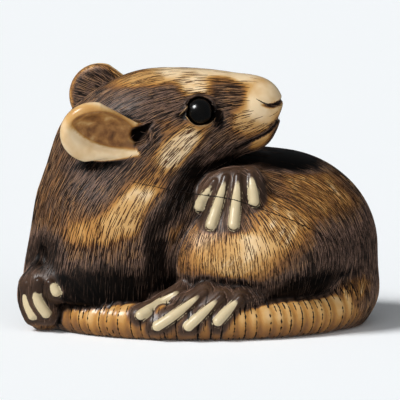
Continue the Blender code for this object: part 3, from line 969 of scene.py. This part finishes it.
# handling has bared the lower edge and the underside
bared = smooth(3.2, 0.8, skinPoints[:, 2]) * (1 - onTail) * (1 - crest)
ground = washed(ground, bared * 0.8, tones["rim"])
under = smooth(0.6, 0.1, skinPoints[:, 2])
ground = washed(ground, under, tones["underside"])
strokes = washed(strokes, under, 0)


def keepOn(mesh, name, values, kind="FLOAT"):
    layer = mesh.attributes.new(name, kind, "POINT")
    values = np.asarray(values, np.float32)
    layer.data.foreach_set("vector" if kind == "FLOAT_VECTOR" else "value", values.ravel())


# Millimetres across the fur, along it, and a third number that keeps the parts' patterns apart
furMap = np.column_stack((furAcross, furAlong, np.where(isFore, 0, 90))) * shareMm
ringMap = np.column_stack((tailRun(angles), skinPoints[:, 2], np.full(len(angles), 50))) * shareMm
furMap = np.where(onTail[:, None] > 0.5, ringMap, furMap)
keepOn(skinMesh, "furMap", furMap, "FLOAT_VECTOR")
keepOn(skinMesh, "lay", lay, "FLOAT_VECTOR")
keepOn(skinMesh, "ground", ground)
keepOn(skinMesh, "strokes", strokes)
keepOn(skinMesh, "pale", pale)
keepOn(skinMesh, "bowl", onEar * inBowl)
skinMesh.transform(Matrix.Scale(share, 4))
skinMesh.shade_smooth()
ivory = newObject("carvedRatIvory", skinMesh)
print("stain laid on")


def linear(code):
    parts = [int(code[i:i + 2], 16) / 255 for i in (1, 3, 5)]
    return [p / 12.92 if p <= 0.04045 else ((p + 0.055) / 1.055) ** 2.4 for p in parts] + [1]


def newMaterial(name):
    made = bpy.data.materials.new(name)
    made.use_nodes = True
    made.node_tree.nodes.clear()
    return made, made.node_tree


def addNode(tree, kind, *inputs, named=None, **settings):
    # One node with its settings, then its inputs in order or by name: values, sockets to link,
    # or nodes whose first output is linked
    made = tree.nodes.new(kind)
    for name, value in settings.items():
        setattr(made, name, value)
    for slot, value in [*enumerate(inputs), *(named or {}).items()]:
        if isinstance(value, bpy.types.Node):
            value = value.outputs[0]
        if isinstance(value, bpy.types.NodeSocket):
            tree.links.new(value, made.inputs[slot])
        elif value is not None:
            made.inputs[slot].default_value = value
    return made


def rampOf(tree, source, stops):
    made = addNode(tree, "ShaderNodeValToRGB", source)
    elements = made.color_ramp.elements
    while len(elements) < len(stops):
        elements.new(1.0)
    for element, (place, code) in zip(elements, stops):
        element.position = place
        element.color = linear(code)
    return made


# Elephant ivory, carved, engraved with a fine burin and rubbed with a dark stain, then polished:
# warm and a little translucent where bare, brown-black in every cut, satin gloss over all
ivoryFinish = {
    "grounds": ((0.0, "#e6cca4"), (0.1, "#c99f65"), (0.2, "#ae7c3f"), (0.33, "#895d33"),
                (0.55, "#5c4434"), (0.72, "#38281e"), (0.88, "#150c07"), (1.0, "#040201")),
    # the digits' crest: bare ivory and painted light on their upper side
    "paleColour": "#c6b591",
    "bowlColours": ((0.32, "#50321b"), (0.46, "#84572e"), (0.58, "#a4743f"), (0.7, "#bf9a66")),
    "mottleSwing": 0.3,
    "streakSwing": 0.32,
    "roughness": (0.24, 0.44),
    "cutDepth": 0.00005,
}


def ivoryMaterial():
    made, tree = newMaterial("stainedCarvedIvory")
    read = {}
    for name in ("furMap", "ground", "strokes", "pale", "bowl"):
        node = addNode(tree, "ShaderNodeAttribute", attribute_name=name)
        read[name] = node.outputs["Vector" if name == "furMap" else "Fac"]
    place = addNode(tree, "ShaderNodeTexCoord").outputs["Object"]

    # broad mottling of the stain, 3 to 6 mm across
    mottle = addNode(tree, "ShaderNodeTexNoise", place, named={"Scale": 260.0, "Detail": 3.0})
    shift = addNode(tree, "ShaderNodeMath", mottle, 0.5, operation="SUBTRACT")
    level = addNode(tree, "ShaderNodeMath", shift, ivoryFinish["mottleSwing"], read["ground"],
                    operation="MULTIPLY_ADD")
    # stain drawn out along the fur in streaks 0.25 mm by 2 mm, where strokes are cut
    stretched = addNode(tree, "ShaderNodeMapping", read["furMap"], None, None, (4.0, 0.5, 1.0))
    streak = addNode(tree, "ShaderNodeTexNoise", stretched, named={"Scale": 1.0, "Detail": 3.0})
    drawn = addNode(tree, "ShaderNodeMath", streak, 0.5, operation="SUBTRACT")
    cutUp = addNode(tree, "ShaderNodeMapRange", read["strokes"], 0.45, 0.9, 0.0, 1.0)
    drawn = addNode(tree, "ShaderNodeMath", drawn, cutUp, operation="MULTIPLY")
    level = addNode(tree, "ShaderNodeMath", drawn, ivoryFinish["streakSwing"] * 2, level,
                    operation="MULTIPLY_ADD")
    colour = rampOf(tree, level, ivoryFinish["grounds"])
    # the ear's bowl, stained in soft clouds
    cloud = addNode(tree, "ShaderNodeTexNoise", place,
                    named={"Scale": 620.0, "Detail": 5.0, "Distortion": 0.2})
    bowl = rampOf(tree, cloud, ivoryFinish["bowlColours"])
    colour = addNode(tree, "ShaderNodeMix", data_type="RGBA", named={
        0: read["bowl"], 6: colour, 7: bowl})
    paleShare = addNode(tree, "ShaderNodeMapRange", read["pale"], 0.35, 0.75, 0.0, 1.0)
    colour = addNode(tree, "ShaderNodeMix", data_type="RGBA", named={
        0: paleShare, 6: colour.outputs[2], 7: linear(ivoryFinish["paleColour"])})

    bump = addNode(tree, "ShaderNodeBump", named={
        "Strength": 0.2, "Distance": ivoryFinish["cutDepth"], "Height": drawn})
    gloss = addNode(tree, "ShaderNodeMapRange", read["strokes"], 0.0, 1.0,
                    *ivoryFinish["roughness"])
    gloss = addNode(tree, "ShaderNodeMath", read["ground"], 0.12, gloss, operation="MULTIPLY_ADD")
    # lampblack fills the darkest hollows, where shade is painted too, and takes their shine away
    shine = addNode(tree, "ShaderNodeMapRange", read["ground"], 0.75, 0.98, 0.36, 0.08)
    shader = addNode(tree, "ShaderNodeBsdfPrincipled", named={
        "Base Color": colour.outputs[2], "Roughness": gloss, "Normal": bump, "IOR": 1.54,
        "Specular IOR Level": shine, "Subsurface Weight": 0.06, "Subsurface Scale": 0.0004,
        "Subsurface Radius": (1.0, 0.5, 0.25)})
    addNode(tree, "ShaderNodeOutputMaterial", shader)
    return made


ivory.data.materials.clear()
ivory.data.materials.append(ivoryMaterial())
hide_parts("carved_rat")
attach(ivory, "root")


# Strokes: thin spindles laid along the fur and drawn onto the ivory, one for each burin cut
def strokeTree(name, scattered):
    tree = bpy.data.node_groups.new(name, "GeometryNodeTree")
    sockets = (("Geometry", "Geometry"), ("Surface", "Object"), ("Spacing", "Float"),
               ("Density", "Float"), ("Length", "Float"), ("Width", "Float"), ("Depth", "Float"),
               ("Stray", "Float"), ("Seed", "Int"), ("Finish", "Material"))
    for label, kind in sockets:
        tree.interface.new_socket(label, in_out="INPUT", socket_type="NodeSocket" + kind)
    tree.interface.new_socket("Geometry", in_out="OUTPUT", socket_type="NodeSocketGeometry")
    given = addNode(tree, "NodeGroupInput").outputs
    held = addNode(tree, "GeometryNodeObjectInfo", named={"Object": given["Surface"]})
    surface = held.outputs["Geometry"]
    read = {}
    for label in ("lay", "lift", "share") if scattered else ("lay", "lift", "up", "grown"):
        kind = "FLOAT" if label in ("lift", "share") else "FLOAT_VECTOR"
        read[label] = addNode(tree, "GeometryNodeInputNamedAttribute", label, data_type=kind)
    if scattered:
        points = addNode(tree, "GeometryNodeDistributePointsOnFaces", distribute_method="POISSON",
                         named={"Mesh": given["Geometry"], "Distance Min": given["Spacing"],
                                "Density Max": given["Density"], "Density Factor": read["share"],
                                "Seed": given["Seed"]})
        normal = points.outputs["Normal"]
    else:
        points = addNode(tree, "GeometryNodeMeshToPoints", given["Geometry"])
        normal = read["up"]
    # each is turned along the fur, a little astray, with its thin side outwards
    stray = addNode(tree, "FunctionNodeRandomValue", (-1.0, -1.0, -1.0), (1.0, 1.0, 1.0),
                    data_type="FLOAT_VECTOR", named={"Seed": given["Seed"]})
    way = addNode(tree, "ShaderNodeVectorMath", stray, operation="SCALE",
                  named={"Scale": given["Stray"]})
    way = addNode(tree, "ShaderNodeVectorMath", way, read["lay"], operation="ADD")
    turn = addNode(tree, "FunctionNodeAlignRotationToVector", axis="Z", named={"Vector": way})
    turn = addNode(tree, "FunctionNodeAlignRotationToVector", axis="X", pivot_axis="Z",
                   named={"Rotation": turn, "Vector": normal})
    uneven = addNode(tree, "FunctionNodeRandomValue", data_type="FLOAT",
                     named={"Min": 0.55, "Max": 1.35, "Seed": given["Seed"]})
    long = addNode(tree, "ShaderNodeMath", given["Length"], uneven.outputs[1], operation="MULTIPLY")
    size = addNode(tree, "ShaderNodeCombineXYZ", given["Depth"], given["Width"], long)
    half = addNode(tree, "ShaderNodeVectorMath", size, operation="SCALE", named={"Scale": 0.5})
    if not scattered:
        half = addNode(tree, "ShaderNodeVectorMath", half, read["grown"], operation="MULTIPLY")
    spindle = addNode(tree, "GeometryNodeMeshUVSphere", 3, 4, 1.0)
    height = addNode(tree, "ShaderNodeSeparateXYZ", addNode(tree, "GeometryNodeInputPosition"))
    marked = addNode(tree, "GeometryNodeStoreNamedAttribute", spindle, data_type="FLOAT",
                     domain="POINT", named={"Name": "lift", "Value": height})
    laid = addNode(tree, "GeometryNodeInstanceOnPoints", named={
        "Points": points, "Instance": marked, "Rotation": turn, "Scale": half})
    real = addNode(tree, "GeometryNodeRealizeInstances", laid)
    # then every corner is drawn onto the ivory and lifted off it by its own height
    near = addNode(tree, "GeometryNodeProximity", surface, target_element="FACES")
    over = addNode(tree, "GeometryNodeSampleNearestSurface", data_type="FLOAT_VECTOR",
                   named={"Mesh": surface, "Value": addNode(tree, "GeometryNodeInputNormal")})
    lift = addNode(tree, "ShaderNodeMath", read["lift"], 0.6, 0.25, operation="MULTIPLY_ADD")
    lift = addNode(tree, "ShaderNodeMath", lift, given["Depth"], operation="MULTIPLY")
    rise = addNode(tree, "ShaderNodeVectorMath", over, operation="SCALE", named={"Scale": lift})
    place = addNode(tree, "ShaderNodeVectorMath", rise, near, operation="ADD")
    hugged = addNode(tree, "GeometryNodeSetPosition", real, named={"Position": place})
    soft = addNode(tree, "GeometryNodeSetShadeSmooth", hugged)
    done = addNode(tree, "GeometryNodeSetMaterial", soft, named={"Material": given["Finish"]})
    addNode(tree, "NodeGroupOutput", done)
    return tree


trees = {True: strokeTree("scatteredStrokes", True), False: strokeTree("placedStrokes", False)}


def laidStrokes(name, mesh, settings, finish, scattered=True):
    # Millimetre settings, given to the tree by socket identifier before it first runs
    holder = newObject(name + "Holder", mesh)
    tree = trees[scattered]
    nodes = holder.modifiers.new("strokes", "NODES")
    values = {"Surface": ivory, "Finish": finish, "Seed": settings["seed"],
              "Density": settings.get("density", 1.0) * 1e6, "Stray": settings.get("stray", 0.0)}
    for label in ("Spacing", "Length", "Width", "Depth"):
        values[label] = settings.get(label.lower(), 1.0) * 0.001
    nodes.node_group = tree
    for item in tree.interface.items_tree:
        if item.in_out == "INPUT" and item.name in values:
            nodes[item.identifier] = values[item.name]
    made = newObject(name, plainMesh(holder))
    made.data.name = name
    print(name, len(made.data.polygons), "faces")
    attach(made, "root")
    return made


# What strokes are made of: one tone for each level of the ground about them, a little uneven
def cutMaterial(name, stops, roughness):
    made, tree = newMaterial(name)
    ground = addNode(tree, "ShaderNodeAttribute", attribute_name="ground").outputs["Fac"]
    place = addNode(tree, "ShaderNodeTexCoord").outputs["Object"]
    patch = addNode(tree, "ShaderNodeTexNoise", place, named={"Scale": 1100.0, "Detail": 2.0})
    shift = addNode(tree, "ShaderNodeMath", patch, 0.5, operation="SUBTRACT")
    level = addNode(tree, "ShaderNodeMath", shift, 0.5, ground, operation="MULTIPLY_ADD")
    colour = rampOf(tree, level, stops)
    gloss = addNode(tree, "ShaderNodeMapRange", patch, 0.3, 0.7, roughness - 0.08, roughness + 0.08)
    shader = addNode(tree, "ShaderNodeBsdfPrincipled", named={
        "Base Color": colour, "Roughness": gloss, "IOR": 1.5, "Specular IOR Level": 0.3})
    addNode(tree, "ShaderNodeOutputMaterial", shader)
    return made


furCuts = {"seed": 4, "spacing": 0.19, "density": 10.5, "length": 1.9, "width": 0.13,
           "depth": 0.03, "stray": 0.06}
furRidges = {"seed": 9, "spacing": 0.24, "density": 6.5, "length": 1.9, "width": 0.11,
             "depth": 0.05, "stray": 0.06}
# Lampblack and lacquer rubbed into burin cuts: dull and dark, a warm brown on pale ground
cutStain = cutMaterial("rubbedStainInCuts", ((0.0, "#5c3618"), (0.25, "#381f0d"),
                                             (0.5, "#1c110a"), (0.9, "#070403")), 0.45)
# Ivory left standing between cuts, rubbed bare by handling and painted with the sheen that lies on
# it: paler than the ground, satin
wornRidgeAndSheen = cutMaterial("wornIvoryRidgesAndSheen", ((0.0, "#c99d5f"), (0.4, "#b3885a"),
                                            (0.65, "#86695a"), (0.85, "#45342a"),
                                            (1.0, "#160f0b")), 0.38)
furry = smooth(0.05, 0.2, strokes) * (1 - onTail) * (1 - onDigit)
besideEar = smooth(1.3, 0.6, earGap) * smooth(-1.5, -0.5, place[:, 2])
furry = furry * (1 - besideEar * (1 - earBack) * smooth(1.2, 0.6, pastEar))
cutShare = strokes**1.5 * smooth(0.9, 0.7, ground)
# ridges on dark ground: worn ivory with painted sheen
ridgeShare = strokes * smooth(0.4, 0.65, ground) * smooth(1.02, 0.84, ground)
for name, settings, amount, finish in (
    ("foreCuts", furCuts, cutShare * isFore, cutStain),
    ("rearCuts", furCuts, cutShare * ~isFore, cutStain),
    ("foreRidges", furRidges, ridgeShare * isFore, wornRidgeAndSheen),
    ("rearRidges", furRidges, ridgeShare * ~isFore, wornRidgeAndSheen),
):
    mesh = ivory.data.copy()
    for extra in ("furMap", "strokes", "pale", "bowl"):
        mesh.attributes.remove(mesh.attributes[extra])
    keepOn(mesh, "share", np.clip(amount * furry, 0, 1))
    laidStrokes(name, mesh, settings, finish)
print("fur engraved")


def placed(points, lays, grown):
    # Points for strokes of their own, drawn onto the figure
    points = np.array(points, float)
    for _ in range(4):
        here, slope = sloped(points)
        points = points - slope * (here / np.maximum((slope**2).sum(1), 0.2))[:, None]
    mesh = bpy.data.meshes.new("strokePoints")
    mesh.from_pydata((points * share).tolist(), [], [])
    keepOn(mesh, "up", unit(slope), "FLOAT_VECTOR")
    keepOn(mesh, "lay", unit(np.array(lays, float)), "FLOAT_VECTOR")
    keepOn(mesh, "grown", np.array(grown, float), "FLOAT_VECTOR")
    keepOn(mesh, "ground", np.full(len(points), 0.6))
    return mesh


tailMarks = {
    "seed": 3, "length": 2.8, "width": 0.42, "depth": 0.055, "stray": 0.03,
    "heights": (-62, -40, -18, 4, 26, 48),  # degrees up the tail's round side
    "lengths": (0.35, 0.7, 1.0, 1.0, 1.0, 1.0),  # the low ones stop above the floor
    "ringChance": 0.86,
    "edgeChance": 0.75,  # between rings, at the tail's edges
    "faceChance": 0.08,  # between rings, elsewhere
    "betweenWidth": 0.7,
    "betweenLength": 0.55,
}


def tailRings():
    # Each ring is a row of strokes round the tail, broken here and there; shorter ones stand
    # between rings, at the lower edge and the upper one
    draw = np.random.default_rng(21)
    points, lays, grown = [], [], []
    turns = np.linspace(14, 168, 1200)
    runs = tailRun(turns)
    reachX, reachY = tail["reach"]
    up = np.array((0, 0, 1.0))
    for start in ringPlaces:
        for offset, whole in ((0.0, True), (tail["ringSpacing"] / 2, False)):
            run = start + offset + draw.uniform(-0.3, 0.3) * (not whole)
            if not runs[0] < run < runs[-1]:
                continue
            degrees = np.interp(run, runs, turns)
            places = np.linspace(*tail["turn"], len(tail["radii"]))
            radius = np.interp(degrees, places, tail["radii"])
            x, y = math.cos(math.radians(degrees)), -math.sin(math.radians(degrees))
            middle = np.array((reachX * x, reachY * y, radius * tail["lift"]))
            out = unit(np.array([(x / reachX, y / reachY, 0.0)]))[0]
            for height, length in zip(tailMarks["heights"], tailMarks["lengths"]):
                chance = tailMarks["edgeChance" if height < -50 or height > 40 else "faceChance"]
                if draw.uniform() > (tailMarks["ringChance"] if whole else chance):
                    continue
                tilt = math.radians(height + draw.uniform(-6, 6))
                points.append(middle + radius * (out * math.cos(tilt) + up * math.sin(tilt)))
                lays.append(up * math.cos(tilt) - out * math.sin(tilt))
                wide = draw.uniform(0.6, 1.1) * (1 if whole else tailMarks["betweenWidth"])
                grown.append((1, wide, (1.0 if whole else tailMarks["betweenLength"]) * length))
    points = np.array(points)
    clear = (np.minimum(digitField(points), padField(points)) > 0.3) & (blockedOut(points) > -0.5)
    return points[clear], np.array(lays)[clear], np.array(grown)[clear]


laidStrokes("tailRings", placed(*tailRings()), tailMarks, cutStain, False)


# The lids' pale edges, ivory left proud of the stain and polished
lidIvory = cutMaterial("paleLidIvory", ((0.0, "#c9a878"), (1.0, "#8f6a44")), 0.3)
# Lines drawn on the figure: what they are of, their width and height in millimetres, then
# corners in the photograph's pixels
drawnLines = {
    "ageCrack": (cutStain, 0.2, 0.08, (
        (133, 182), (152, 186), (171, 190), (195, 194), (219, 197), (235, 200), (250, 205),
        (264, 210), (294, 221), (318, 233), (338, 245), (354, 259))),
    "mouthLine": (cutStain, 0.26, 0.04, (
        (280.5, 110), (278, 118), (273.8, 127), (267.5, 133), (258.4, 137), (249.4, 140.5),
        (238, 146.5))),
    "nostrilLine": (cutStain, 0.32, 0.07, (
        (258, 100.8), (264, 104), (272.9, 106.2), (280, 105.6))),
    "innerCorner": (cutStain, 0.34, 0.05, ((224, 109), (218, 108), (212, 106))),
    "outerCorner": (cutStain, 0.34, 0.05, ((178, 118), (183, 116), (189, 113.5))),
    "lowerLid": (lidIvory, 0.3, 0.16, (
        (187.5, 119), (191, 123), (196, 126), (202, 126.8), (208, 125.4), (212.5, 122))),
    "outerLid": (lidIvory, 0.2, 0.12, ((180, 115), (184, 111.5), (188, 106.5))),
    # a dark line in the crease above the tail's root: painted shade, drawn in the cuts' stain
    "rootCrease": (cutStain, 0.5, 0.05, (
        (296, 299.5), (306, 297), (319, 293.5), (330, 288), (336, 281), (341, 276), (352, 271.5))),
}


def lineStrokes(corners):
    corners = np.array([fromPixels(*corner) for corner in corners])
    gaps = np.linalg.norm(np.diff(corners, axis=0), axis=1)
    run = np.concatenate(([0], np.cumsum(gaps)))
    steps = np.linspace(0, run[-1], max(4, int(run[-1] / 0.8)))
    spots = np.column_stack([np.interp(steps, run, corners[:, axis]) for axis in (0, 1)])
    points = sighted(spots, 1, figure)[0]
    lays = unit(np.gradient(points, axis=0))
    taper = np.sin(np.linspace(0.25, math.pi - 0.4, len(points))) ** 0.8
    grown = np.column_stack((np.ones(len(points)), taper, np.ones(len(points))))
    return placed(points, lays, grown)


for name, (finish, width, depth, corners) in drawnLines.items():
    settings = {"seed": 5, "length": 0.9, "width": width, "depth": depth}
    laidStrokes(name, lineStrokes(corners), settings, finish, False)
print("rings, crack and muzzle drawn")


# Black water-buffalo horn, turned to a ball and polished: near black, with a wet, sharp gloss
def hornMaterial():
    made, tree = newMaterial("polishedDarkHorn")
    place = addNode(tree, "ShaderNodeTexCoord").outputs["Object"]
    grain = addNode(tree, "ShaderNodeTexNoise", place, named={"Scale": 900.0, "Detail": 3.0})
    colour = rampOf(tree, grain, ((0.35, "#020202"), (0.7, "#080604")))
    gloss = addNode(tree, "ShaderNodeMapRange", grain, 0.3, 0.7, 0.17, 0.25)
    shader = addNode(tree, "ShaderNodeBsdfPrincipled", named={
        "Base Color": colour, "Roughness": gloss, "IOR": 1.56, "Specular IOR Level": 0.4})
    addNode(tree, "ShaderNodeOutputMaterial", shader)
    return made


horn = hornMaterial()
eyePieces = (("nearEyeHorn", "near_eye"), ("farEyeHorn", "far_eye"))
for (name, node), (centre, _) in zip(eyePieces, eyeSeats):
    work = bmesh.new()
    bmesh.ops.create_uvsphere(work, u_segments=48, v_segments=28, radius=eye["radius"] * share)
    bmesh.ops.translate(work, vec=Vector(centre * share), verts=work.verts)
    mesh = bpy.data.meshes.new(name)
    work.to_mesh(mesh)
    work.free()
    mesh.shade_smooth()
    mesh.materials.append(horn)
    ball = newObject(name, mesh)
    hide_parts(node)
    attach(ball, "root")
print("eyes set")


# Studio: pale floor, a soft key from the upper left, a very soft fill from the front
studio = {
    "floorColour": "#f7fafc",
    "lights": (  # name, where it shines from, strength, width in degrees
        ("key", (-0.62, -0.32, 0.71), 3.25, 22),
        ("fill", (0.1, -0.9, 0.35), 1.2, 80),
    ),
    "skyColour": "#eef3f8",
    "skyStrength": 0.12,
    "distance": 1.5,
    "frameWidth": 0.0535,  # metres across the frame, at the object
    "frameMiddle": 200,  # pixels
}


def setStudio():
    work = bmesh.new()
    bmesh.ops.create_grid(work, x_segments=1, y_segments=1, size=6)
    mesh = bpy.data.meshes.new("studioFloor")
    work.to_mesh(mesh)
    work.free()
    floor = newObject("studioFloor", mesh)
    paint = bpy.data.materials.new("paperFloor")
    paint.use_nodes = True
    shader = paint.node_tree.nodes["Principled BSDF"]
    shader.inputs["Base Color"].default_value = linear(studio["floorColour"])
    shader.inputs["Roughness"].default_value = 0.9
    shader.inputs["Specular IOR Level"].default_value = 0.1
    mesh.materials.append(paint)
    floor.visible_glossy = False  # the stain's blacks mirror no pale floor
    for name, place, strength, width in studio["lights"]:
        lamp = bpy.data.lights.new(name, "SUN")
        lamp.energy = strength
        lamp.angle = math.radians(width)
        lampObject = bpy.data.objects.new(name, lamp)
        lampObject.rotation_euler = Vector(place).to_track_quat("Z", "Y").to_euler()
        lampObject.visible_glossy = name == "key"  # the fill is too broad to be mirrored
        bpy.context.scene.collection.objects.link(lampObject)
    world = bpy.data.worlds.new("studioSky")
    world.use_nodes = True
    sky = world.node_tree.nodes["Background"]
    sky.inputs["Color"].default_value = linear(studio["skyColour"])
    sky.inputs["Strength"].default_value = studio["skyStrength"]
    bpy.context.scene.world = world
    bpy.context.scene.view_settings.view_transform = "Standard"


def setCamera():
    lens = bpy.data.cameras.new("longLens")
    rise = math.radians(paws["viewRise"])
    back = Vector((0, -math.cos(rise), math.sin(rise)))
    up = Vector((0, math.sin(rise), math.cos(rise)))
    right, high = studio["frameMiddle"] - originPixel[0], originPixel[1] - studio["frameMiddle"]
    centre = up * (high * sharesPerPixel * share) + Vector((right * sharesPerPixel * share, 0, 0))
    lens.lens = lens.sensor_width * studio["distance"] / studio["frameWidth"]
    lens.clip_start = 0.05
    camera = bpy.data.objects.new("longLens", lens)
    camera.location = centre + back * studio["distance"]
    camera.rotation_euler = (math.radians(90) - rise, 0, 0)
    bpy.context.scene.collection.objects.link(camera)
    bpy.context.scene.camera = camera


setStudio()
setCamera()
print("studio set")
